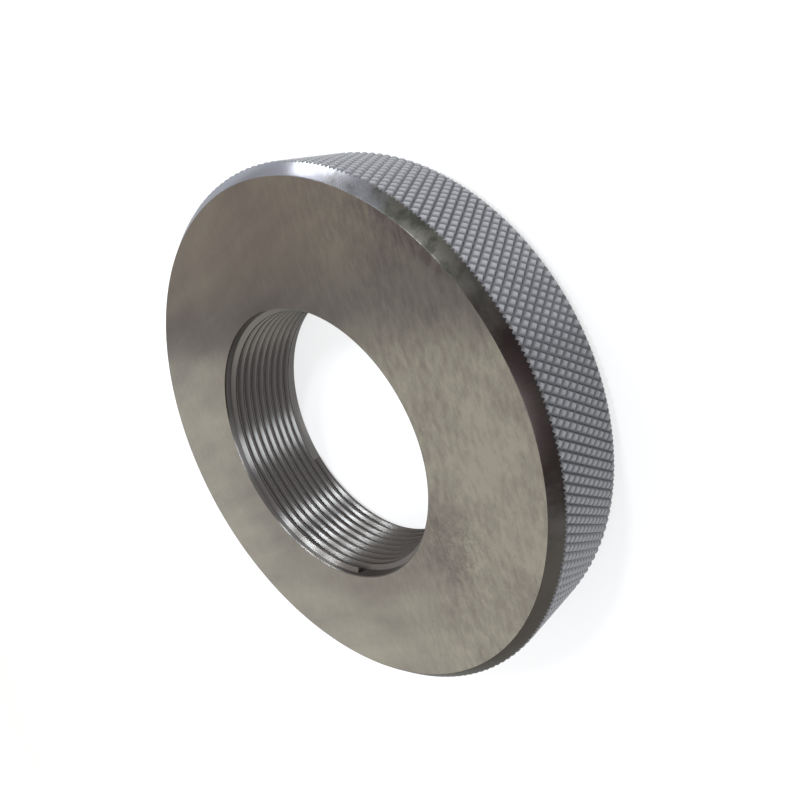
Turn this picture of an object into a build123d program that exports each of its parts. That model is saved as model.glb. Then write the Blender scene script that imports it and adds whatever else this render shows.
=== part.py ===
"""Solid thread ring gauge with a knurled rim.

The ring lies flat on its back face: that face is on Z = 0 and the axis of the
bore is +Z. The bore carries a true right-hand metric thread. Its incomplete
turns are relieved at both faces, so the thread starts and ends at full form.
All sizes are in millimetres and all angles in degrees.
"""

from build123d import *
import math
import os

# Body
outside_diameter = 112.0
width = 21.5
edge_chamfer = 2.25  # 45 degrees, on both edges of the rim
bore_edge_break = 0.2  # 45 degrees, where the relieved bore meets each face

# Thread, ISO metric basic profile
thread_major_diameter = 60.0
thread_pitch = 2.0
thread_start_angle = -90.0  # where the thread starts under the front face, from +X
front_relief_gap = 0.9  # from the front face to the foot of the first ridge
back_relief_gap = 0.47  # from the back face to the foot of the last ridge

# ISO metric proportions: the flank's angle from the radial direction, the height
# of a sharp V, and shares of that height or of the pitch
FLANK_ANGLE = 30.0
SHARP_HEIGHT = math.sqrt(3) / 2
CUT_DEPTH_SHARE = 5 / 8
ROOT_FLAT_SHARE = 1 / 8
CREST_FLAT_SHARE = 1 / 4

# How far a cutter runs past the metal, into open space
OVERRUN = 0.2

outer_radius = outside_diameter / 2
root_radius = thread_major_diameter / 2
crest_radius = root_radius - CUT_DEPTH_SHARE * SHARP_HEIGHT * thread_pitch

half_root_flat = ROOT_FLAT_SHARE * thread_pitch / 2
half_mouth = (1 - CREST_FLAT_SHARE) * thread_pitch / 2
half_ridge_foot = (1 - ROOT_FLAT_SHARE) * thread_pitch / 2

# Height of the groove's middle where its last full turn ends, at each face. It lies
# beyond the first ridge there, so half a pitch further in than the ridge's middle.
groove_bottom = back_relief_gap + half_ridge_foot + thread_pitch / 2
groove_top = width - front_relief_gap - half_ridge_foot - thread_pitch / 2
groove_turns = (groove_top - groove_bottom) / thread_pitch
groove_start_angle = thread_start_angle - 360 * groove_turns


def revolved(*corners):
    """A solid of revolution about Z, from the corners (radius, height) of its section."""
    outline = Polyline(*corners, close=True)
    return revolve(Plane.XZ * make_face(outline.edges()), Axis.Z)


def plain_ring():
    """The turned blank, bored to the crest of the thread, with its rim chamfers."""
    return revolved(
        (crest_radius, 0),
        (outer_radius - edge_chamfer, 0),
        (outer_radius, edge_chamfer),
        (outer_radius, width - edge_chamfer),
        (outer_radius - edge_chamfer, width),
        (crest_radius, width),
    )


def edge_break_cutter(face_height, outward):
    """The 45 degree cone that breaks the edge of the relieved bore at one face."""
    reach = bore_edge_break + OVERRUN
    above = face_height + outward * OVERRUN
    below = face_height - outward * reach
    cone_radius = root_radius + bore_edge_break
    return revolved(
        (crest_radius, above),
        (cone_radius + OVERRUN, above),
        (cone_radius - reach, below),
        (crest_radius, below),
    )


def groove_cutter(height, start_angle, turns, open_above=0.0, open_below=0.0):
    """A stretch of the thread's groove, as a solid swept along the helix.

    The section is the groove's trapezium. Where open_above or open_below is
    given, that side is square instead and clears everything for that distance.
    """
    mouth = half_mouth + OVERRUN * math.tan(math.radians(FLANK_ANGLE))
    mouth_radius = crest_radius - OVERRUN
    outline = Polyline(
        (mouth_radius, 0, -(open_below or mouth)),
        (root_radius, 0, -(open_below or half_root_flat)),
        (root_radius, 0, open_above or half_root_flat),
        (mouth_radius, 0, open_above or mouth),
        close=True,
    )
    path = Helix(pitch=thread_pitch, height=turns * thread_pitch, radius=crest_radius)
    groove = sweep(make_face(outline.edges()), path=path, is_frenet=True)
    return Pos(0, 0, height) * Rot(0, 0, start_angle) * groove


def groove_cutters():
    """Every cut that makes the thread, from the back face up.

    The full groove is cut a turn at a time. The relief at each face is one more
    turn, in halves because its section is taller than the pitch and would meet
    itself.
    """
    half_climb = thread_pitch / 2
    for half in range(2):
        height = groove_bottom - thread_pitch + half * half_climb
        angle = groove_start_angle + half * 180
        yield groove_cutter(height, angle, 0.5, open_below=groove_bottom + OVERRUN)
    whole_turns = math.floor(groove_turns)
    for turn in range(whole_turns):
        height = groove_bottom + turn * thread_pitch
        yield groove_cutter(height, groove_start_angle, 1)
    last_stretch = groove_turns - whole_turns
    if last_stretch > 0:
        height = groove_bottom + whole_turns * thread_pitch
        yield groove_cutter(height, groove_start_angle, last_stretch)
    for half in range(2):
        height = groove_top + half * half_climb
        angle = thread_start_angle + half * 180
        yield groove_cutter(height, angle, 0.5, open_above=width - groove_top + OVERRUN)


def gauge_ring():
    """The finished ring: the blank, its thread and the broken edges of the bore."""
    ring = plain_ring()
    for cutter in groove_cutters():
        ring -= cutter
    ring -= edge_break_cutter(0, -1)
    ring -= edge_break_cutter(width, 1)
    return ring


os.makedirs("parts", exist_ok=True)
export_step(gauge_ring(), "parts/gauge_ring.step")
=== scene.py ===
"""Dresses the thread ring gauge: knurled rim, turned chamfers, ground faces and threaded bore.

The ring lies on its back face, with the axis of its bore along +Z. Its sizes
are kept in millimetres and become metres when its mesh is made. Lengths in the
finishes, the lamps and the floor are in metres.
"""

import logging
import math
from collections.abc import Iterable
from dataclasses import dataclass, field
from enum import Enum, IntEnum
from typing import Any

import bmesh
import bpy
import numpy as np
from mathutils import Matrix, Vector


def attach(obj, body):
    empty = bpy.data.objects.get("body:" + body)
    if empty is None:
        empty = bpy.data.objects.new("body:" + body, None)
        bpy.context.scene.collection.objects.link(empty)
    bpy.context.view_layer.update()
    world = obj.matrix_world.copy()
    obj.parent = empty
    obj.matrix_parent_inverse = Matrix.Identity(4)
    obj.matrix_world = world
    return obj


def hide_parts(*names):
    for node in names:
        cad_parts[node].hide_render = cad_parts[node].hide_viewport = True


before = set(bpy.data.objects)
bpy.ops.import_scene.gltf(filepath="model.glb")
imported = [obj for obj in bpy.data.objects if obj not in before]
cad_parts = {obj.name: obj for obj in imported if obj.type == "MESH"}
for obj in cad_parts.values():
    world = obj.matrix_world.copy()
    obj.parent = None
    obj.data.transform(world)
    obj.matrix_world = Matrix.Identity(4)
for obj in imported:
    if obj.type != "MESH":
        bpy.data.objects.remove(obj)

LOG = logging.getLogger("ring_gauge")
METRES = 0.001
FULL_TURN = 2.0 * math.pi
MIX_SHARE, MIX_FIRST, MIX_SECOND, MIX_RESULT = 0, 6, 7, 2  # a Mix node's sockets for colours
MARKS_ROUND_AXIS = 0.25  # anisotropic rotation: a quarter turn from the tangent
Colour = tuple[float, float, float]


def linear(red: int, green: int, blue: int) -> Colour:
    """Turns a colour from 0..255 display values into linear light.

    Args:
        red: Display red.
        green: Display green.
        blue: Display blue.

    Returns:
        The three linear values.
    """
    def one(value: int) -> float:
        """One channel, by the sRGB curve."""
        share = value / 255.0
        return share / 12.92 if share <= 0.04045 else ((share + 0.055) / 1.055) ** 2.4
    return one(red), one(green), one(blue)


# --------------------------------------------------------------------------
# Sizes and surfaces
# --------------------------------------------------------------------------

class Skin(IntEnum):
    """The surfaces of the ring, in the order of its material slots."""

    FACE = 0
    CHAMFER = 1
    RIM = 2
    BORE = 3


class Side(Enum):
    """One of the two ends of the ring: +1 towards +Z."""

    FRONT = 1
    BACK = -1


@dataclass(frozen=True)
class RingSizes:
    """The turned ring, in millimetres."""

    outer_radius: float = 56.0
    width: float = 21.5
    edge_chamfer: float = 2.25
    facet_start: float = 0.09  # outwards and down from the chamfer's corner
    facet_end: float = 0.054  # inwards from that corner, on the face

    @property
    def middle(self) -> float:
        """Height of the middle of the ring."""
        return self.width / 2

    @property
    def half_rim(self) -> float:
        """Half the height of the knurled rim, between the chamfers."""
        return self.width / 2 - self.edge_chamfer

    @property
    def corner_radius(self) -> float:
        """Radius of the corner that the chamfer and the face would make without the facet."""
        return self.outer_radius - self.edge_chamfer

    def face_height(self, side: Side) -> float:
        """Height of the front or back face."""
        return self.middle + side.value * self.middle


@dataclass(frozen=True)
class KnurlSizes:
    """The diamond knurl: two sets of grooves at 30 degrees to the axis."""

    diamonds_round: int = 190
    axial_pitch: float = 3.2
    depth: float = 0.46
    steps: int = 4  # grid steps from a groove's floor to the middle of a diamond
    profile: tuple[float, ...] = (-1.0, -0.62, -0.24, -0.05, 0.0)  # shares of the depth, by step


@dataclass(frozen=True)
class ThreadSizes:
    """The metric thread with its blunt starts, in millimetres and degrees."""

    root_radius: float = 30.0
    pitch: float = 2.0
    crest_round: float = 0.42
    crest_turn: float = 60.0  # between a flank and the crest's flat
    round_steps: int = 3
    front_gap: float = 0.9  # from the front face to the ridge's foot at its start
    back_gap: float = 0.47
    start_angle: float = -90.0  # of the front start
    closing: float = 6.0  # a relief's spare rows close within a turn divided by this
    edge_break: float = 0.2
    columns: int = 200  # per turn

    @property
    def ridge_depth(self) -> float:
        """Height of the ridge: five eighths of the full triangle's height."""
        return 5 / 8 * math.sqrt(3) / 2 * self.pitch

    @property
    def half_foot(self) -> float:
        """Half the ridge's width at its foot: seven sixteenths of the pitch."""
        return 7 / 16 * self.pitch

    @property
    def half_crest(self) -> float:
        """Half the ridge's width at its crest before rounding: an eighth of the pitch."""
        return self.pitch / 8

    @property
    def profile(self) -> np.ndarray:
        """The ridge's section, from foot to foot.

        Each side of the crest is an arc from the flank to the crest's flat, round
        a centre one radius below the crest. The arc's middle lies inwards of the
        unrounded corner by the radius times the tangent of half its turn.

        Returns:
            Points as (height from the ridge's middle, depth inwards), n x 2.
        """
        turn = np.radians(np.linspace(self.crest_turn, 0, self.round_steps + 1))
        middle = self.half_crest - self.crest_round * math.tan(math.radians(self.crest_turn / 2))
        heights = np.append(self.half_foot, middle + self.crest_round * np.sin(turn))
        depths = np.append(0.0, self.ridge_depth - self.crest_round * (1 - np.cos(turn)))
        columns = [np.append(-heights, heights[::-1]), np.append(depths, depths[::-1])]
        return np.stack(columns, axis=-1)


@dataclass
class Patch:
    """A stretch of surface: points, triangles or quads on them, and its skin."""

    points: np.ndarray
    faces: np.ndarray
    skin: Skin


def ring_points(radius: np.ndarray, angle: np.ndarray, height: np.ndarray) -> np.ndarray:
    """Points from cylindrical places: x = r cos a, y = r sin a, z = height."""
    radius, angle, height = np.broadcast_arrays(radius, angle, height)
    return np.stack([radius * np.cos(angle), radius * np.sin(angle), height], axis=-1)


def grid_patch(points: np.ndarray, skin: Skin) -> Patch:
    """Quads on a grid of points: each joins four neighbours in rows and columns.

    Args:
        points: Array of rows x columns x 3.
        skin: Which surface it belongs to.

    Returns:
        The patch.
    """
    rows, columns = points.shape[:2]
    index = np.arange(rows * columns).reshape(rows, columns)
    quads = np.stack([index[:-1, :-1], index[:-1, 1:], index[1:, 1:], index[1:, :-1]], axis=-1)
    return Patch(points.reshape(-1, 3), quads.reshape(-1, 4), skin)


def stitched_patch(one: np.ndarray, other: np.ndarray, skin: Skin) -> Patch:
    """Triangles between two closed rings of points with different counts.

    Both rings are walked together in order of angle. Each edge of one ring takes
    as its third corner the point that the walk has reached on the other ring,
    which is the count of that ring's edges whose middles come earlier.

    Args:
        one: Points of one ring, n x 3, in rising angle from about zero.
        other: Points of the other ring, m x 3, in the same order.
        skin: Which surface it belongs to.

    Returns:
        The patch.
    """
    counts = len(one), len(other)
    angles = [np.arctan2(ring[:, 1], ring[:, 0]) % FULL_TURN for ring in (one, other)]
    middles = [
        (ring + np.append(ring[1:], ring[0] + FULL_TURN)) / 2 for ring in angles
    ]
    reached = [
        np.searchsorted(middles[1], middles[0], side="left") % counts[1],
        np.searchsorted(middles[0], middles[1], side="right") % counts[0],
    ]
    first, second = np.arange(counts[0]), np.arange(counts[1])
    by_one = np.stack([first, (first + 1) % counts[0], reached[0] + counts[0]], axis=-1)
    by_other = np.stack(
        [second + counts[0], reached[1], (second + 1) % counts[1] + counts[0]], axis=-1
    )
    return Patch(np.concatenate([one, other]), np.concatenate([by_one, by_other]), skin)


# --------------------------------------------------------------------------
# The rim
# --------------------------------------------------------------------------

@dataclass(frozen=True)
class KnurledRim:
    """The knurled band and the turned chamfers that cut it off at each side."""

    ring: RingSizes = field(default_factory=RingSizes)
    knurl: KnurlSizes = field(default_factory=KnurlSizes)
    halvings: int = 30  # of the range in which the knurl meets the chamfer

    @property
    def columns(self) -> int:
        """Grid columns round the rim."""
        return self.knurl.diamonds_round * 2 * self.knurl.steps

    @property
    def angles(self) -> np.ndarray:
        """Angles of the grid columns, the last one back at the first."""
        return np.arange(self.columns + 1) * (FULL_TURN / self.columns)

    def sink(self, angle: np.ndarray, rise: np.ndarray) -> np.ndarray:
        """Depth of the knurl below its crests, zero or less.

        Each set of grooves is a triangle wave of the angle plus or minus the rise:
        0 on a groove's floor and 1 half-way to the next. The lower of the two
        waves is looked up in the groove's profile.

        Args:
            angle: Angle round the rim, in radians.
            rise: Height above the middle of the ring.

        Returns:
            The depth in millimetres.
        """
        around = angle * self.knurl.diamonds_round / FULL_TURN
        along = rise / self.knurl.axial_pitch
        leads = around + along, around - along
        waves = [1 - np.abs(2 * np.mod(lead, 1.0) - 1) for lead in leads]
        stops = np.linspace(0, 1, len(self.knurl.profile))
        return self.knurl.depth * np.interp(np.minimum(*waves), stops, self.knurl.profile)

    def edge_rise(self, side: Side) -> np.ndarray:
        """Rise at which each column meets the chamfer's cone, by halving the range.

        The cone falls as fast as it rises, so the two meet where the rise is the
        rim's half height plus the knurl's depth there.

        Args:
            side: The end of the ring.

        Returns:
            Rises above the middle of the ring, one for each column.
        """
        low = np.full(self.columns + 1, self.ring.half_rim)
        high = low + self.knurl.depth
        for _ in range(self.halvings):
            trial = (low + high) / 2
            sunk = self.sink(self.angles, side.value * trial)
            inside = trial - self.ring.half_rim + sunk < 0
            low, high = np.where(inside, trial, low), np.where(inside, high, trial)
        return side.value * (low + high) / 2

    def band(self) -> Patch:
        """The knurled band, on a grid whose steps fall on the knurl's creases.

        Each square is split along the groove that runs nearest to it, so the
        grooves' floors and walls stay straight. How near each set of grooves is
        comes from a triangle wave of column plus or minus row.

        Returns:
            The patch, of triangles.
        """
        step = self.knurl.axial_pitch / (2 * self.knurl.steps)
        reach = math.ceil(self.ring.half_rim / step) - 1
        inner = np.arange(-reach, reach + 1)[:, None] * step + np.zeros((1, self.columns + 1))
        low, high = self.edge_rise(Side.BACK)[None], self.edge_rise(Side.FRONT)[None]
        rise = np.concatenate([low, inner, high])
        radius = self.ring.outer_radius + self.sink(self.angles, rise)
        points = ring_points(radius, self.angles, self.ring.middle + rise)
        index = np.arange(points[..., 0].size).reshape(rise.shape)
        near, right, far, up = index[:-1, :-1], index[:-1, 1:], index[1:, 1:], index[1:, :-1]
        row = np.arange(-reach - 1, reach + 1)[:, None]
        column = np.arange(self.columns)[None]
        period = 2 * self.knurl.steps
        falling, rising = [
            1 - np.abs((lead % period) / self.knurl.steps - 1)
            for lead in (column + row + 1, column - row)
        ]
        fall = (falling <= rising)[..., None]
        first = np.where(fall, np.stack([near, right, up], -1), np.stack([near, right, far], -1))
        second = np.where(fall, np.stack([right, far, up], -1), np.stack([near, far, up], -1))
        faces = np.concatenate([first.reshape(-1, 3), second.reshape(-1, 3)])
        return Patch(points.reshape(-1, 3), faces, Skin.RIM)

    def chamfer(self, side: Side) -> Patch:
        """A chamfer's cone, from the ragged end of the knurl to the edge of the face.

        The section runs straight at 45 degrees and turns into the face over a
        small facet.

        Args:
            side: The end of the ring.

        Returns:
            The patch, three rows of points.
        """
        ring = self.ring
        rise = self.edge_rise(side)
        start = ring.outer_radius - (np.abs(rise) - ring.half_rim)
        rows = [ring_points(start, self.angles, ring.middle + rise)]
        for outwards, upwards in ((ring.facet_start, -ring.facet_start), (-ring.facet_end, 0.0)):
            height = ring.face_height(side) + side.value * upwards
            rows.append(ring_points(ring.corner_radius + outwards, self.angles, height))
        return grid_patch(np.stack(rows), Skin.CHAMFER)

    def face_edge(self, side: Side) -> np.ndarray:
        """The ring of points where the chamfer ends on the face."""
        radius = self.ring.corner_radius - self.ring.facet_end
        return ring_points(radius, self.angles[:-1], self.ring.face_height(side))


# --------------------------------------------------------------------------
# The bore
# --------------------------------------------------------------------------

@dataclass(frozen=True)
class ThreadedBore:
    """The helical ridge, the root between its turns and the relief at each face."""

    ring: RingSizes = field(default_factory=RingSizes)
    thread: ThreadSizes = field(default_factory=ThreadSizes)

    @property
    def last_column(self) -> int:
        """Columns of the whole ridge, from its back start to its front start."""
        thread = self.thread
        climb = self.ring.width - thread.front_gap - thread.back_gap - 2 * thread.half_foot
        return round(climb / thread.pitch * thread.columns)

    def angle(self, column: np.ndarray) -> np.ndarray:
        """Angle of a column, counted along the ridge from its back start."""
        front = math.radians(self.thread.start_angle)
        return front - (self.last_column - column) * (FULL_TURN / self.thread.columns)

    def height(self, column: np.ndarray) -> np.ndarray:
        """Height of the middle of the ridge: it climbs one pitch a turn."""
        start = self.thread.back_gap + self.thread.half_foot
        return start + column * (self.thread.pitch / self.thread.columns)

    def ridge(self) -> Patch:
        """The ridge: its section carried along the helix.

        Returns:
            The patch, with a row for each point of the section.
        """
        column = np.arange(self.last_column + 1)[None]
        offset, depth = self.thread.profile[:, 0, None], self.thread.profile[:, 1, None]
        radius = self.thread.root_radius - depth
        points = ring_points(radius, self.angle(column), self.height(column) + offset)
        return grid_patch(points, Skin.BORE)

    def root(self) -> Patch:
        """The flat root, from the top foot of each turn to the low foot of the next.

        Returns:
            The patch, a strip one quad high.
        """
        thread = self.thread
        column = np.arange(self.last_column - thread.columns + 1)
        low = self.height(column) + thread.half_foot
        high = self.height(column + thread.columns) - thread.half_foot
        rows = [ring_points(thread.root_radius, self.angle(column), edge) for edge in (low, high)]
        return grid_patch(np.stack(rows), Skin.BORE)

    def start_face(self, side: Side) -> Patch:
        """The flat end of the ridge at one blunt start, as a fan on its section.

        Args:
            side: The end of the ring that the start is nearest to.

        Returns:
            The patch, of triangles.
        """
        column = self.last_column if side is Side.FRONT else 0
        profile = self.thread.profile
        radius = self.thread.root_radius - profile[:, 1]
        points = ring_points(radius, self.angle(column), self.height(column) + profile[:, 0])
        corner = np.arange(1, len(points) - 1)
        fan = np.stack([np.zeros_like(corner), corner, corner + 1], axis=-1)
        return Patch(points, fan, Skin.BORE)

    def relief(self, side: Side) -> Patch:
        """The smooth wall between the last turn and a face.

        It starts on the ridge's outer foot. Two more rows leave that foot near the
        blunt start, to meet the root and the ridge's other foot a turn away, and
        close onto it further round.

        Args:
            side: The end of the ring.

        Returns:
            The patch, four rows of points.
        """
        thread, sign = self.thread, side.value
        turn = np.arange(thread.columns + 1)
        column = turn + (self.last_column - thread.columns if side is Side.FRONT else 0)
        share = turn / thread.columns
        away = share if side is Side.FRONT else 1 - share
        opening = np.clip(1 - thread.closing * away, 0, 1)
        foot = self.height(column) + sign * thread.half_foot
        end = self.ring.face_height(side) - sign * thread.edge_break
        steps = thread.pitch - 2 * thread.half_foot, thread.pitch
        heights = [foot, *(foot + sign * step * opening for step in steps), np.full_like(foot, end)]
        rows = [ring_points(thread.root_radius, self.angle(column), height) for height in heights]
        return grid_patch(np.stack(rows), Skin.BORE)

    def edge(self, side: Side) -> Patch:
        """The broken edge where the relieved bore meets a face, a 45 degree cone.

        Args:
            side: The end of the ring.

        Returns:
            The patch, a strip one quad high.
        """
        thread = self.thread
        angle = self.angle(np.arange(thread.columns + 1))
        face = self.ring.face_height(side)
        radii = thread.root_radius, thread.root_radius + thread.edge_break
        heights = face - side.value * thread.edge_break, face
        rows = [ring_points(radius, angle, height) for radius, height in zip(radii, heights)]
        return grid_patch(np.stack(rows), Skin.BORE)

    def face_edge(self, side: Side) -> np.ndarray:
        """The ring of points where the broken edge ends on the face.

        Args:
            side: The end of the ring.

        Returns:
            The points, n x 3, in rising angle from about zero.
        """
        angle = np.sort(self.angle(np.arange(self.thread.columns)) % FULL_TURN)
        radius = self.thread.root_radius + self.thread.edge_break
        return ring_points(radius, angle, self.ring.face_height(side))


# --------------------------------------------------------------------------
# Shader expressions
# --------------------------------------------------------------------------

@dataclass(frozen=True)
class Texture:
    """Fractal noise, and how its coordinates are turned about Z and then stretched."""

    scale: float  # per metre
    detail: float = 3.0
    roughness: float = 0.55
    stretch: tuple[float, float, float] | None = None
    direction: float = 0.0  # in degrees


class Wire:
    """A node's output socket, with arithmetic that adds Math nodes."""

    def __init__(self, graph: "Graph", socket: bpy.types.NodeSocket | None) -> None:
        """Keeps the socket and the graph that new nodes go into."""
        self.graph = graph
        self.socket = socket

    def _math(self, operation: str, *values: Any) -> "Wire":
        """A Math node on these values."""
        return self.graph.node("ShaderNodeMath", {"operation": operation}, dict(enumerate(values)))

    def __add__(self, other: Any) -> "Wire":
        """Sum."""
        return self._math("ADD", self, other)

    __radd__ = __add__

    def __sub__(self, other: Any) -> "Wire":
        """Difference."""
        return self._math("SUBTRACT", self, other)

    def __rsub__(self, other: Any) -> "Wire":
        """Difference, reflected."""
        return self._math("SUBTRACT", other, self)

    def __mul__(self, other: Any) -> "Wire":
        """Product."""
        return self._math("MULTIPLY", self, other)

    def __truediv__(self, other: Any) -> "Wire":
        """Quotient."""
        return self._math("DIVIDE", self, other)

    def __pow__(self, other: Any) -> "Wire":
        """Power."""
        return self._math("POWER", self, other)

    def larger(self, other: Any) -> "Wire":
        """The larger of the two."""
        return self._math("MAXIMUM", self, other)

    def smaller(self, other: Any) -> "Wire":
        """The smaller of the two."""
        return self._math("MINIMUM", self, other)

    def raised(self, base: float, gain: float) -> "Wire":
        """The base, plus this times the gain."""
        return base + self * gain

    def between(self, low: float, high: float) -> "Wire":
        """A smooth step.

        Args:
            low: Where the step is 0.
            high: Where it is 1. It may be the smaller of the two.

        Returns:
            The step, from 0 to 1.
        """
        settings = {"interpolation_type": "SMOOTHSTEP"}
        ends = (0.0, 1.0) if low <= high else (1.0, 0.0)
        values = dict(enumerate((self, min(low, high), max(low, high), *ends)))
        return self.graph.node("ShaderNodeMapRange", settings, values)


def distance(x: Wire, y: Wire) -> Wire:
    """Distance of a point from the axis, or from where x and y are counted."""
    return (x * x + y * y) ** 0.5


class Graph:
    """The node tree of one material or world."""

    def __init__(self, tree: bpy.types.NodeTree) -> None:
        """Clears the tree and keeps it."""
        self.tree = tree
        tree.nodes.clear()

    def node(
        self, kind: str, settings: dict[str, Any], values: dict[Any, Any], output: Any = 0
    ) -> Wire:
        """Makes any node.

        Args:
            kind: Blender's name of the node type.
            settings: The node's own settings, set first.
            values: Values or wires of the inputs, by name or index.
            output: Name or index of the output to give back.

        Returns:
            The output as a wire, without a socket on a node that has no output.
        """
        node = self.tree.nodes.new(kind)
        for name, value in settings.items():
            setattr(node, name, value)
        for name, value in values.items():
            socket = node.inputs[name]
            if isinstance(value, Wire):
                self.tree.links.new(value.socket, socket)
            elif isinstance(value, tuple) and len(value) == 3 and socket.type == "RGBA":
                socket.default_value = (*value, 1.0)
            else:
                socket.default_value = value
        return Wire(self, node.outputs[output] if len(node.outputs) else None)

    def place(self) -> Wire:
        """Object coordinates."""
        return self.node("ShaderNodeTexCoord", {}, {}, "Object")

    def seen(self) -> Wire:
        """Tells the rays by which a surface is seen, directly, in a mirror or through glass.

        Returns:
            1 on camera, glossy and transmission rays, and 0 on all others.
        """
        seen = self.node("ShaderNodeLightPath", {}, {}, "Is Camera Ray")
        outputs = seen.socket.node.outputs
        for ray in ("Is Glossy Ray", "Is Transmission Ray"):
            seen = seen.larger(Wire(self, outputs[ray]))
        return seen

    def parts(self, vector: Wire) -> tuple[Wire, Wire, Wire]:
        """The x, y and z of a vector."""
        node = self.node("ShaderNodeSeparateXYZ", {}, {0: vector}).socket.node
        return tuple(Wire(self, socket) for socket in node.outputs)

    def times(self, vector: Wire, factors: tuple[float, float, float]) -> Wire:
        """A vector or colour, each part times its factor."""
        return self.node("ShaderNodeVectorMath", {"operation": "MULTIPLY"}, {0: vector, 1: factors})

    def noise(self, place: Wire, texture: Texture) -> Wire:
        """Fractal noise.

        Args:
            place: The coordinates that it is worked out on.
            texture: Its kind.

        Returns:
            The noise, from 0 to 1.
        """
        if texture.stretch is not None:
            turn = (0.0, 0.0, math.radians(texture.direction))
            turned = self.node("ShaderNodeMapping", {}, {"Vector": place, "Rotation": turn})
            place = self.times(turned, texture.stretch)
        values = {
            "Vector": place,
            "Scale": texture.scale,
            "Detail": texture.detail,
            "Roughness": texture.roughness,
        }
        return self.node("ShaderNodeTexNoise", {}, values, "Fac")

    def blend(self, share: Wire, first: Wire | Colour, second: Wire | Colour) -> Wire:
        """A colour between the first, at a share of 0, and the second, at 1."""
        values = {MIX_SHARE: share, MIX_FIRST: first, MIX_SECOND: second}
        return self.node("ShaderNodeMix", {"data_type": "RGBA"}, values, MIX_RESULT)


# --------------------------------------------------------------------------
# Finishes
# --------------------------------------------------------------------------

@dataclass(frozen=True)
class SteelFinish:
    """What every steel surface here shares: how a material is put together."""

    name: str
    bump_height: float
    anisotropy: float = 0.0  # of marks that run round the axis
    edge_shine: float = 1.0  # brightness at a glancing angle
    arc_softness: float = 0.3
    arc_patchiness: float = 1.6

    def build(self) -> bpy.types.Material:
        """Makes the material.

        Returns:
            The material, its colour, roughness and relief from this finish.
        """
        material = bpy.data.materials.new(self.name)
        material.use_nodes = True
        graph = Graph(material.node_tree)
        colour, roughness, relief = self.pattern(graph)
        bump = {"Strength": 1.0, "Distance": self.bump_height, "Height": relief}
        values = {
            "Base Color": colour,
            "Roughness": roughness,
            "Metallic": 1.0,
            "Anisotropic": self.anisotropy,
            "Anisotropic Rotation": MARKS_ROUND_AXIS,
            "Specular Tint": (self.edge_shine,) * 3,
            "Normal": graph.node("ShaderNodeBump", {}, bump),
        }
        surface = graph.node("ShaderNodeBsdfPrincipled", {}, values)
        graph.node("ShaderNodeOutputMaterial", {}, {"Surface": surface})
        return material

    def arc(self, x: Wire, y: Wire, patches: Wire, middle: float, reach: float) -> Wire:
        """How far a place lies inside an arc of the ring, with a soft and patchy end.

        The cosine of the angle from the arc's middle is the place's distance along
        that direction over its distance from the axis.

        Args:
            x: The place's x.
            y: The place's y.
            patches: A noise that moves the arc's end.
            middle: Angle of the arc's middle, in degrees.
            reach: Angle from its middle to its end.

        Returns:
            A level from 0 outside to 1 inside.
        """
        turn = math.radians(middle)
        along = (x * math.cos(turn) + y * math.sin(turn)) / distance(x, y)
        soft = self.arc_softness * math.sin(math.radians(reach))
        edge = math.cos(math.radians(reach))
        moved = along + (patches - 0.5) * soft * self.arc_patchiness
        return moved.between(edge - soft / 2, edge + soft / 2)

    def pattern(self, graph: Graph) -> tuple[Wire, Wire, Wire]:
        """Works out how the finish varies over the surface.

        Args:
            graph: The node tree of its material.

        Returns:
            Its colour, roughness and relief.
        """
        raise NotImplementedError


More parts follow.
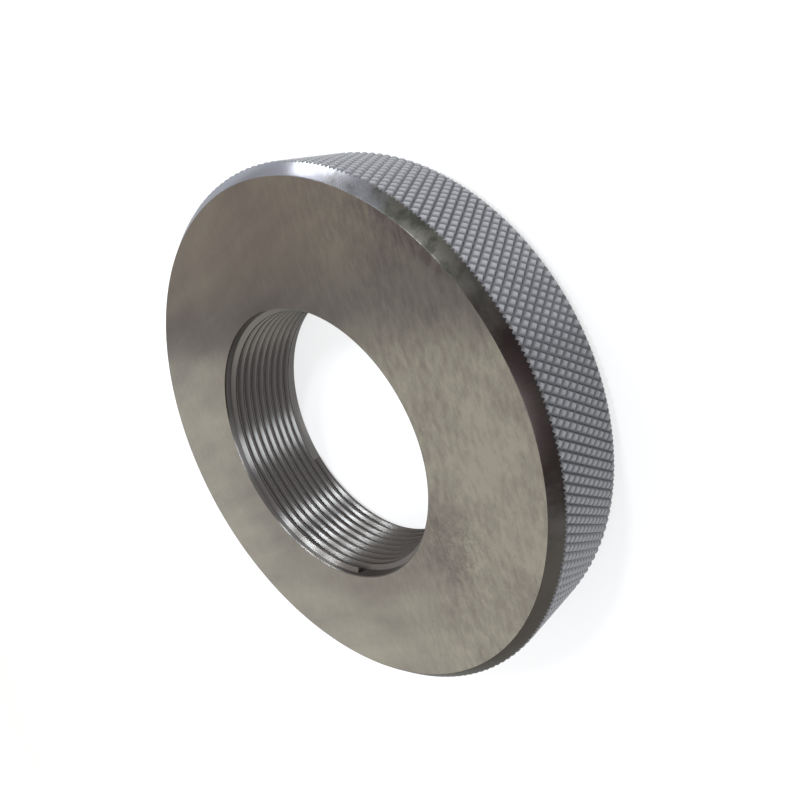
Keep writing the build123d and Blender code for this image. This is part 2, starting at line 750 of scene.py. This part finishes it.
@dataclass(frozen=True)
class GroundFaceFinish(SteelFinish):
    """A surface-ground face: fine straight grain, broad streaks, mottling and dried oil."""

    light: Colour = linear(136, 132, 123)
    dark: Colour = linear(98, 92, 91)
    oil: Colour = linear(92, 90, 82)
    grain: Texture = Texture(240.0, 4.0, stretch=(13.0, 1.0, 1.0))
    streaks: Texture = Texture(75.0, stretch=(0.3, 1.5, 1.0), direction=-17.0)
    clouds: Texture = Texture(60.0)
    mottle: Texture = Texture(360.0, 6.0, 0.7, stretch=(2.4, 1.0, 1.0))
    oil_lines: Texture = Texture(420.0, 2.0, 0.5)
    mottled_side: tuple[float, float] = (0.006, 0.034)  # x where the mottling starts and is full
    least_mottle: float = 0.2  # on the other side
    handled_reach: tuple[float, float] = (0.044, 0.031)  # radii where it starts and is full
    handled_side: tuple[float, float] = (0.008, -0.02)  # y where it starts and is full
    smear_reach: tuple[float, float] = (0.0495, 0.0535)
    smear_arc: tuple[float, float] = (38.0, 14.0)  # middle and reach, in degrees
    oil_middle: tuple[float, float] = (0.031, -0.0195)
    oil_reach: float = 0.0105
    oil_core: float = 0.35  # share of that reach where the marks are full
    oil_width: tuple[float, float] = (0.0016, 0.0001)  # square of the noise's offset, likewise
    base_dark: float = 0.3  # share of the dark tone; the next lines are what each mark adds
    by_mottle: float = 1.8
    by_clouds: float = 0.55  # to which the mottling's own level is added
    by_streaks: float = 1.45
    streak_loss: float = 0.7  # how much weaker the streaks are on the mottled side
    by_grain: float = 0.35
    by_handling: float = 0.28
    by_smear: float = 0.9
    by_oil: float = 0.34
    base_roughness: float = 0.12
    cloud_roughness: float = 0.05
    mottle_roughness: float = 0.12
    oil_roughness: float = 0.1

    def pattern(self, graph: Graph) -> tuple[Wire, Wire, Wire]:
        """Noise stretched along the grain and the streaks, mixed by where it lies.

        Mottling is strongest towards +X. The bore's edge is darker towards -Y,
        where the face was handled, and a smear lies beside the chamfer. The oil
        marks are thin lines where a noise passes its middle level, inside a round
        patch.

        Args:
            graph: The node tree of its material.

        Returns:
            Its colour, roughness and relief.
        """
        place = graph.place()
        x, y, _ = graph.parts(place)
        grain = graph.noise(place, self.grain)
        streaks = graph.noise(place, self.streaks)
        clouds = graph.noise(place, self.clouds)
        mottle = graph.noise(place, self.mottle)
        side = x.between(*self.mottled_side).raised(self.least_mottle, 1 - self.least_mottle)
        radius = distance(x, y)
        handled = radius.between(*self.handled_reach) * y.between(*self.handled_side)
        smear = radius.between(*self.smear_reach) * self.arc(x, y, clouds, *self.smear_arc) * mottle
        worn = (mottle - 0.5) * side * self.by_mottle + (clouds - 0.5) * (side + self.by_clouds)
        streaked = (streaks - 0.5) * (1 - side * self.streak_loss) * self.by_streaks
        share = self.base_dark + worn + streaked + (grain - 0.5) * self.by_grain
        share = share + handled * self.by_handling + smear * self.by_smear
        colour = graph.blend(share.larger(0.0).smaller(1.0), self.light, self.dark)
        lines = ((graph.noise(place, self.oil_lines) - 0.5) ** 2.0).between(*self.oil_width)
        away = distance(x - self.oil_middle[0], y - self.oil_middle[1])
        patch = away.between(self.oil_reach, self.oil_reach * self.oil_core)
        oily = lines * patch * self.by_oil
        colour = graph.blend(oily, colour, self.oil)
        roughness = clouds.raised(self.base_roughness, self.cloud_roughness)
        roughness = roughness + mottle * side * self.mottle_roughness + oily * self.oil_roughness
        return colour, roughness, grain


@dataclass(frozen=True)
class TurnedChamferFinish(SteelFinish):
    """A turned chamfer: bright metal, painted shade over one side for its dark reflections, brown
    with a darker middle, and smudges at its end.
    """

    light: Colour = linear(168, 171, 179)
    # The brown and the dark tone are painted shade, laid in arcs over one side.
    brown_painted_shade: Colour = linear(97, 94, 86)
    dark: Colour = linear(50, 42, 41)
    smudge: Colour = linear(46, 47, 41)
    patches: Texture = Texture(130.0, 4.0, 0.6)
    spots: Texture = Texture(330.0, 5.0, 0.65)
    spot_levels: tuple[float, float] = (0.38, 0.64)  # of the noise, where a spot fades in
    brown_painted_shade_arc: tuple[float, float] = (-20.0, 74.0)  # arcs have a middle and a reach, in degrees
    dark_painted_shade_arc: tuple[float, float] = (7.0, 20.0)
    smudge_arc: tuple[float, float] = (40.0, 17.0)
    brown_painted_shade_cover: tuple[float, float] = (0.85, 0.25)  # the brown painted shade's share, and what patches add
    dark_painted_shade_cover: tuple[float, float] = (0.75, 0.4)
    smudge_cover: float = 0.8
    base_roughness: float = 0.16
    patch_roughness: float = 0.12
    brown_roughness: float = 0.08
    smudge_roughness: float = 0.15

    def pattern(self, graph: Graph) -> tuple[Wire, Wire, Wire]:
        """Two patchy arcs of painted shade on bright metal, one inside the other, and smudges where
        noise is high.

        Args:
            graph: The node tree of its material.

        Returns:
            Its colour, roughness and relief.
        """
        place = graph.place()
        x, y, _ = graph.parts(place)
        patches = graph.noise(place, self.patches)
        # Painted shade: a brown arc, and a darker arc inside it, darken one side of the chamfer as
        # dark reflections would.
        brown_painted_shade = self.arc(x, y, patches, *self.brown_painted_shade_arc)
        dark = self.arc(x, y, patches, *self.dark_painted_shade_arc) * patches.raised(*self.dark_painted_shade_cover)
        with_brown_painted_shade = graph.blend(brown_painted_shade * patches.raised(*self.brown_painted_shade_cover), self.light, self.brown_painted_shade)
        colour = graph.blend(dark.smaller(1.0), with_brown_painted_shade, self.dark)
        spots = graph.noise(place, self.spots).between(*self.spot_levels)
        smudges = spots * self.arc(x, y, patches, *self.smudge_arc) * self.smudge_cover
        colour = graph.blend(smudges, colour, self.smudge)
        roughness = patches.raised(self.base_roughness, self.patch_roughness)
        roughness = roughness + brown_painted_shade * self.brown_roughness + smudges * self.smudge_roughness
        return colour, roughness, patches


@dataclass(frozen=True)
class KnurledRimFinish(SteelFinish):
    """The knurl: pale diamonds, darker grooves, and painted shade over one side."""

    crest: Colour = linear(166, 167, 171)
    groove: Colour = linear(112, 112, 115)
    painted_shade_level: float = 0.69  # brightness under the painted shade
    knurl_painted_shade_arc: tuple[float, float] = (-22.0, 46.0)  # middle and reach, in degrees
    outer_radius: float = RingSizes.outer_radius * METRES
    depth: float = KnurlSizes.depth * METRES
    pale_levels: tuple[float, float] = (0.2, 1.05)  # shares of the depth, where it turns pale
    pale_cover: tuple[float, float] = (0.7, 0.5)  # how pale the crests are, and what speckle adds
    speckle: Texture = Texture(1500.0, 3.0, 0.6)
    painted_shade: Texture = Texture(90.0)
    base_roughness: float = 0.42
    speckle_roughness: float = -0.12

    def pattern(self, graph: Graph) -> tuple[Wire, Wire, Wire]:
        """The colour goes by the distance from the axis, so the grooves are dark.

        Args:
            graph: The node tree of its material.

        Returns:
            Its colour, roughness and relief.
        """
        place = graph.place()
        x, y, _ = graph.parts(place)
        height = (distance(x, y) - (self.outer_radius - self.depth)) / self.depth
        speckle = graph.noise(place, self.speckle)
        share = height.between(*self.pale_levels) * speckle.raised(*self.pale_cover)
        clean = graph.blend(share.smaller(1.0), self.groove, self.crest)
        # Painted shade: one side of the knurl is made darker, where less light falls on it.
        painted_shade = self.arc(x, y, graph.noise(place, self.painted_shade), *self.knurl_painted_shade_arc)
        colour = graph.blend(painted_shade, clean, graph.times(clean, (self.painted_shade_level,) * 3))
        return colour, speckle.raised(self.base_roughness, self.speckle_roughness), speckle


@dataclass(frozen=True)
class CutThreadFinish(SteelFinish):
    """The cut thread: pale flanks, and painted shade on the crests, root and mouth, for shade and
    dark reflections.
    """

    flank: Colour = linear(137, 134, 131)
    painted_shade: Colour = linear(64, 59, 57)
    crest_band: tuple[float, float] = (0.028957, 0.028927)  # radii where it starts and is full
    root_band: tuple[float, float] = (0.02992, 0.02998)
    mouth: tuple[float, float] = (0.0186, 0.0194)  # heights where it starts and is full
    rim: tuple[float, float] = (0.0210, 0.0214)
    thread_painted_shade_arc: tuple[float, float] = (128.0, 36.0)  # middle and reach, in degrees
    lines: Texture = Texture(9000.0, stretch=(0.05, 0.05, 1.0))
    clouds: Texture = Texture(90.0)
    on_crest: float = 0.9  # how dark the painted shade is in each place
    on_root: float = 0.2
    on_mouth: float = 0.12
    on_mouth_in_arc: float = 0.12
    on_rim_in_arc: float = 0.6
    painted_shade_cover: tuple[float, float] = (0.8, 0.4)  # the painted shade's share, and what clouds add
    base_roughness: float = 0.33
    line_roughness: float = 0.04
    cloud_roughness: float = 0.05

    def pattern(self, graph: Graph) -> tuple[Wire, Wire, Wire]:
        """The painted shade goes by the distance from the axis and the height; fine lines follow
        the height.

        Args:
            graph: The node tree of its material.

        Returns:
            Its colour, roughness and relief.
        """
        place = graph.place()
        x, y, z = graph.parts(place)
        radius = distance(x, y)
        lines = graph.noise(place, self.lines)
        clouds = graph.noise(place, self.clouds)
        # Painted shade: dark crests, root and mouth, and a darker arc at the mouth, stand for shade
        # and dark reflections.
        crest, root = radius.between(*self.crest_band), radius.between(*self.root_band)
        mouth, rim = z.between(*self.mouth), z.between(*self.rim)
        arc_painted_shade = self.arc(x, y, clouds, *self.thread_painted_shade_arc)
        arc_painted_shade = arc_painted_shade * (mouth * self.on_mouth_in_arc + rim * self.on_rim_in_arc)
        painted_shade = crest * self.on_crest + root * self.on_root + mouth * self.on_mouth + arc_painted_shade
        share = (painted_shade * clouds.raised(*self.painted_shade_cover)).smaller(1.0)
        colour = graph.blend(share, self.flank, self.painted_shade)
        roughness = lines.raised(self.base_roughness, self.line_roughness)
        return colour, roughness + clouds * self.cloud_roughness, lines


# --------------------------------------------------------------------------
# The whole ring
# --------------------------------------------------------------------------

@dataclass
class GaugeRing:
    """The ring gauge as one closed mesh."""

    rim: KnurledRim = field(default_factory=KnurledRim)
    bore: ThreadedBore = field(default_factory=ThreadedBore)
    weld_distance: float = 2e-7  # in metres
    sharp_angle: float = 24.0

    def patches(self) -> Iterable[Patch]:
        """Every stretch of the ring's surface."""
        yield self.rim.band()
        yield self.bore.ridge()
        yield self.bore.root()
        for side in Side:
            yield self.rim.chamfer(side)
            yield stitched_patch(self.rim.face_edge(side), self.bore.face_edge(side), Skin.FACE)
            yield self.bore.edge(side)
            yield self.bore.relief(side)
            yield self.bore.start_face(side)

    def finishes(self) -> dict[Skin, SteelFinish]:
        """The finish of each surface."""
        return {
            Skin.FACE: GroundFaceFinish("ground_face", bump_height=4e-6),
            Skin.CHAMFER: TurnedChamferFinish(
                "turned_chamfer", bump_height=8e-6, anisotropy=0.5, edge_shine=0.5
            ),
            Skin.RIM: KnurledRimFinish("knurled_rim", bump_height=2e-5),
            Skin.BORE: CutThreadFinish("cut_thread", bump_height=4e-8, anisotropy=1.0),
        }

    def joined(self) -> bpy.types.Mesh:
        """Puts all patches into one mesh, a material slot number on each polygon.

        Returns:
            The mesh, its patches not yet welded.
        """
        start, points, faces, skins = 0, [], [], []
        for patch in self.patches():
            points.append(patch.points * METRES)
            faces.extend((patch.faces + start).tolist())
            skins.append(np.full(len(patch.faces), patch.skin))
            start += len(patch.points)
        mesh = bpy.data.meshes.new("ring_gauge")
        mesh.from_pydata(np.concatenate(points), [], faces)
        mesh.polygons.foreach_set("material_index", np.concatenate(skins).astype(np.int32))
        return mesh

    def weld(self, mesh: bpy.types.Mesh) -> int:
        """Welds the patches where they meet and turns every polygon outwards.

        Args:
            mesh: The mesh, changed in place.

        Returns:
            The number of edges that don't have two faces.
        """
        shell = bmesh.new()
        shell.from_mesh(mesh)
        bmesh.ops.remove_doubles(shell, verts=shell.verts, dist=self.weld_distance)
        bmesh.ops.dissolve_degenerate(shell, edges=shell.edges, dist=self.weld_distance)
        bmesh.ops.recalc_face_normals(shell, faces=shell.faces)
        open_edges = sum(1 for edge in shell.edges if len(edge.link_faces) != 2)
        shell.to_mesh(mesh)
        shell.free()
        return open_edges

    def build(self) -> bpy.types.Object:
        """Makes the ring's object: patches joined, welded, shaded and finished.

        Returns:
            The object, with a material for each skin.
        """
        mesh = self.joined()
        open_edges = self.weld(mesh)
        self.shade(mesh)
        ring = bpy.data.objects.new("ring_gauge", mesh)
        bpy.context.scene.collection.objects.link(ring)
        finishes = self.finishes()
        for skin in Skin:
            mesh.materials.append(finishes[skin].build())
        mesh.calc_loop_triangles()
        LOG.info("ring: %d triangles, %d open edges", len(mesh.loop_triangles), open_edges)
        return ring

    def shade(self, mesh: bpy.types.Mesh) -> None:
        """Smooth shading, with sharp edges at corners and where two skins meet.

        Each edge's two faces lie side by side once the corners are sorted by edge,
        so their skins are compared as whole arrays.

        Args:
            mesh: The closed mesh, changed in place.
        """
        mesh.shade_smooth()
        mesh.set_sharp_from_angle(angle=math.radians(self.sharp_angle))
        edges = np.empty(len(mesh.loops), np.int32)
        mesh.loops.foreach_get("edge_index", edges)
        sides, skins = np.empty((2, len(mesh.polygons)), np.int32)
        mesh.polygons.foreach_get("loop_total", sides)
        mesh.polygons.foreach_get("material_index", skins)
        skin_by_edge = np.repeat(skins, sides)[np.argsort(edges, kind="stable")].reshape(-1, 2)
        marks = mesh.attributes["sharp_edge"].data
        sharp = np.empty(len(mesh.edges), bool)
        marks.foreach_get("value", sharp)
        sharp |= skin_by_edge[:, 0] != skin_by_edge[:, 1]
        marks.foreach_set("value", sharp)


# --------------------------------------------------------------------------
# The studio
# --------------------------------------------------------------------------

@dataclass(frozen=True)
class Softbox:
    """A rectangular area lamp, in metres. It faces straight down, or the ring if it is aimed."""

    name: str
    place: tuple[float, float, float]
    size: tuple[float, float]
    level: float  # brightness of its face, where 1 is white
    colour: Colour = (1.0, 1.0, 1.0)
    aimed: bool = False
    target: tuple[float, float, float] = (0.0, 0.0, 0.01)  # near the ring's middle
    turn: float = 0.0  # about Z, in degrees

    def build(self) -> None:
        """Makes the lamp. Its power is its level times pi times its area."""
        lamp = bpy.data.lights.new(self.name, "AREA")
        lamp.shape = "RECTANGLE"
        lamp.size, lamp.size_y = self.size
        lamp.energy = self.level * math.pi * self.size[0] * self.size[1]
        lamp.color = self.colour
        holder = bpy.data.objects.new(self.name, lamp)
        bpy.context.scene.collection.objects.link(holder)
        holder.location = self.place
        holder.rotation_euler = (0.0, 0.0, math.radians(self.turn))
        if self.aimed:
            aim = Vector(self.target) - Vector(self.place)
            holder.rotation_euler = aim.to_track_quat("-Z", "Y").to_euler()
        holder.visible_camera = False


COOL: Colour = (0.86, 0.94, 1.0)
LAMPS = (
    Softbox("ceiling_panel", (-0.839, -0.758, 0.6), (1.4, 1.4), 0.76, (0.98, 1.0, 0.88), turn=-3.0),
    Softbox("wall_glow", (-0.80, 0.55, 0.6), (1.4, 1.0), 0.2, (1.0, 0.8, 0.5)),
    Softbox("low_lamp", (-0.145, 0.492, 0.10), (0.15, 0.1), 5.6, aimed=True),
    # The thread mirrors each of the next four as a bright line across its turns.
    Softbox("bead_lamp_one", (0.074, 0.336, 0.491), (0.05, 0.11), 66.0, COOL, aimed=True),
    Softbox("bead_lamp_two", (-0.132, 0.336, 0.479), (0.07, 0.11), 50.0, COOL, aimed=True),
    Softbox("bead_lamp_three", (-0.279, 0.357, 0.394), (0.06, 0.11), 29.0, COOL, aimed=True),
    Softbox("side_lamp", (0.308, -0.078, 0.509), (0.18, 0.12), 21.0, COOL, aimed=True),
    Softbox("top_panel", (-0.225, 0.237, 0.503), (0.3, 0.25), 1.1, (0.93, 0.97, 1.0), aimed=True),
)


@dataclass(frozen=True)
class Studio:
    """The floor, the lamps, the world and the camera. The camera's place is in millimetres."""

    softboxes: tuple[Softbox, ...] = LAMPS
    world_level: float = 0.55
    world_colour: Colour = (1.0, 0.96, 1.0)
    floor_reach: float = 12.0
    floor_colour: Colour = (0.98, 0.98, 0.98)
    floor_white: float = 0.65  # share of plain white in what is seen of the floor near the ring
    floor_fade: tuple[float, float] = (0.4, 1.6)  # distances over which that share grows to 1
    camera_place: tuple[float, float, float] = (103.710, 34.999, 96.657)
    camera_right: tuple[float, float, float] = (0.70042, -0.26236, -0.66376)
    camera_up: tuple[float, float, float] = (0.0, 0.92999, -0.36760)
    camera_back: tuple[float, float, float] = (0.71373, 0.25747, 0.65138)
    camera_turn: float = -1.5  # about the bore's axis, in degrees
    lens: float = 28.3546
    sensor_width: float = 36.0
    shift: tuple[float, float] = (0.02678, 0.03317)
    clip: tuple[float, float] = (0.005, 50.0)

    def build(self) -> None:
        """Makes everything round the ring."""
        self.floor()
        self.world()
        self.camera()
        for softbox in self.softboxes:
            softbox.build()

    def floor_material(self) -> bpy.types.Material:
        """Lit white, mixed with plain white on the rays by which the floor is seen.

        The lit share keeps the ring's shadow. The plain share is seen in mirrors
        as well, but it isn't sampled as a lamp.

        Returns:
            The material.
        """
        material = bpy.data.materials.new("white_floor")
        material.use_nodes = True
        material.cycles.emission_sampling = "NONE"
        graph = Graph(material.node_tree)
        lit = graph.node("ShaderNodeBsdfDiffuse", {}, {"Color": self.floor_colour})
        white = {"Color": (1.0, 1.0, 1.0), "Strength": 1.0}
        plain = graph.node("ShaderNodeEmission", {}, white)
        x, y, _ = graph.parts(graph.place())
        far = distance(x, y).between(*self.floor_fade)
        share = graph.seen() * far.raised(self.floor_white, 1 - self.floor_white)
        surface = graph.node("ShaderNodeMixShader", {}, {0: share, 1: lit, 2: plain})
        graph.node("ShaderNodeOutputMaterial", {}, {"Surface": surface})
        return material

    def floor(self) -> None:
        """A white floor under the ring, which keeps its shadow and is pure white further out."""
        reach = self.floor_reach
        mesh = bpy.data.meshes.new("floor")
        corners = [(-reach, -reach), (reach, -reach), (reach, reach), (-reach, reach)]
        mesh.from_pydata([(x, y, 0.0) for x, y in corners], [], [(0, 1, 2, 3)])
        mesh.materials.append(self.floor_material())
        floor = bpy.data.objects.new("floor", mesh)
        bpy.context.scene.collection.objects.link(floor)

    def world(self) -> None:
        """An even pale surround, the same on every ray."""
        world = bpy.data.worlds.new("studio")
        bpy.context.scene.world = world
        world.use_nodes = True
        graph = Graph(world.node_tree)
        level = {"Color": self.world_colour, "Strength": self.world_level}
        surround = graph.node("ShaderNodeBackground", {}, level)
        graph.node("ShaderNodeOutputWorld", {}, {"Surface": surround})

    def camera(self) -> None:
        """The camera, from its place and axes, turned about the bore."""
        lens = bpy.data.cameras.new("camera")
        lens.lens = self.lens
        lens.sensor_width = self.sensor_width
        lens.shift_x, lens.shift_y = self.shift
        lens.clip_start, lens.clip_end = self.clip
        camera = bpy.data.objects.new("camera", lens)
        bpy.context.scene.collection.objects.link(camera)
        axes = Matrix((self.camera_right, self.camera_up, self.camera_back)).transposed()
        turn = Matrix.Rotation(math.radians(self.camera_turn), 4, "Z")
        place = Matrix.Translation(Vector(self.camera_place) * METRES)
        camera.matrix_world = turn @ place @ axes.to_4x4()
        bpy.context.scene.camera = camera


def main() -> None:
    """Builds the ring and its studio."""
    logging.basicConfig(level=logging.INFO, format="%(name)s: %(message)s")
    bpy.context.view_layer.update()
    ring = GaugeRing().build()
    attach(ring, "root")
    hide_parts("gauge_ring")
    LOG.info("%s rides on root and stands for gauge_ring", ring.name)
    Studio().build()
    bpy.context.scene.view_settings.view_transform = "Standard"


if __name__ == "__main__":
    main()
